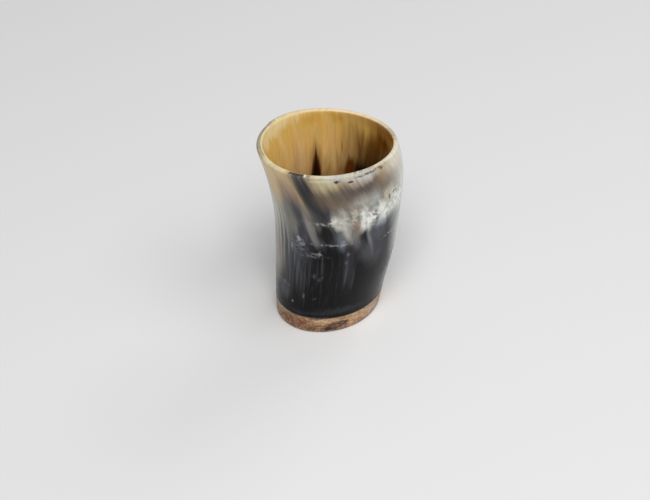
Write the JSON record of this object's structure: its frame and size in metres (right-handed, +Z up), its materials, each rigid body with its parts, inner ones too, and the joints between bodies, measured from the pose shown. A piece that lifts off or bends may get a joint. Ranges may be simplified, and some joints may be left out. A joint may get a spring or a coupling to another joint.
{
  "type": "horn drinking beaker",
  "caption": "Bowed oval beaker of polished cattle horn with a slanted mouth, a glued wooden base and a sealed floor.",
  "frame": {"origin": "middle of the flat face that the cup stands on", "axes": "+Z up through the mouth, +X towards the side that the horn bows out to; the slanted rim is highest between -X and -Y and lowest between +X and +Y"},
  "size_m": [0.0777, 0.0698, 0.1132],
  "materials": {
    "horn": "polished natural cattle horn, cream and amber at the mouth and near black below, with streaks along its grain",
    "wood": "oiled mottled hardwood with a dark knot",
    "glue": "dark hardened resin glue",
    "seal": "clear amber food-safe resin coat"
  },
  "bodies": {
    "root": {"horn_wall": "horn", "wooden_base": "wood", "glue_line": "glue", "floor_seal": "seal"}
  },
  "joints": []
}
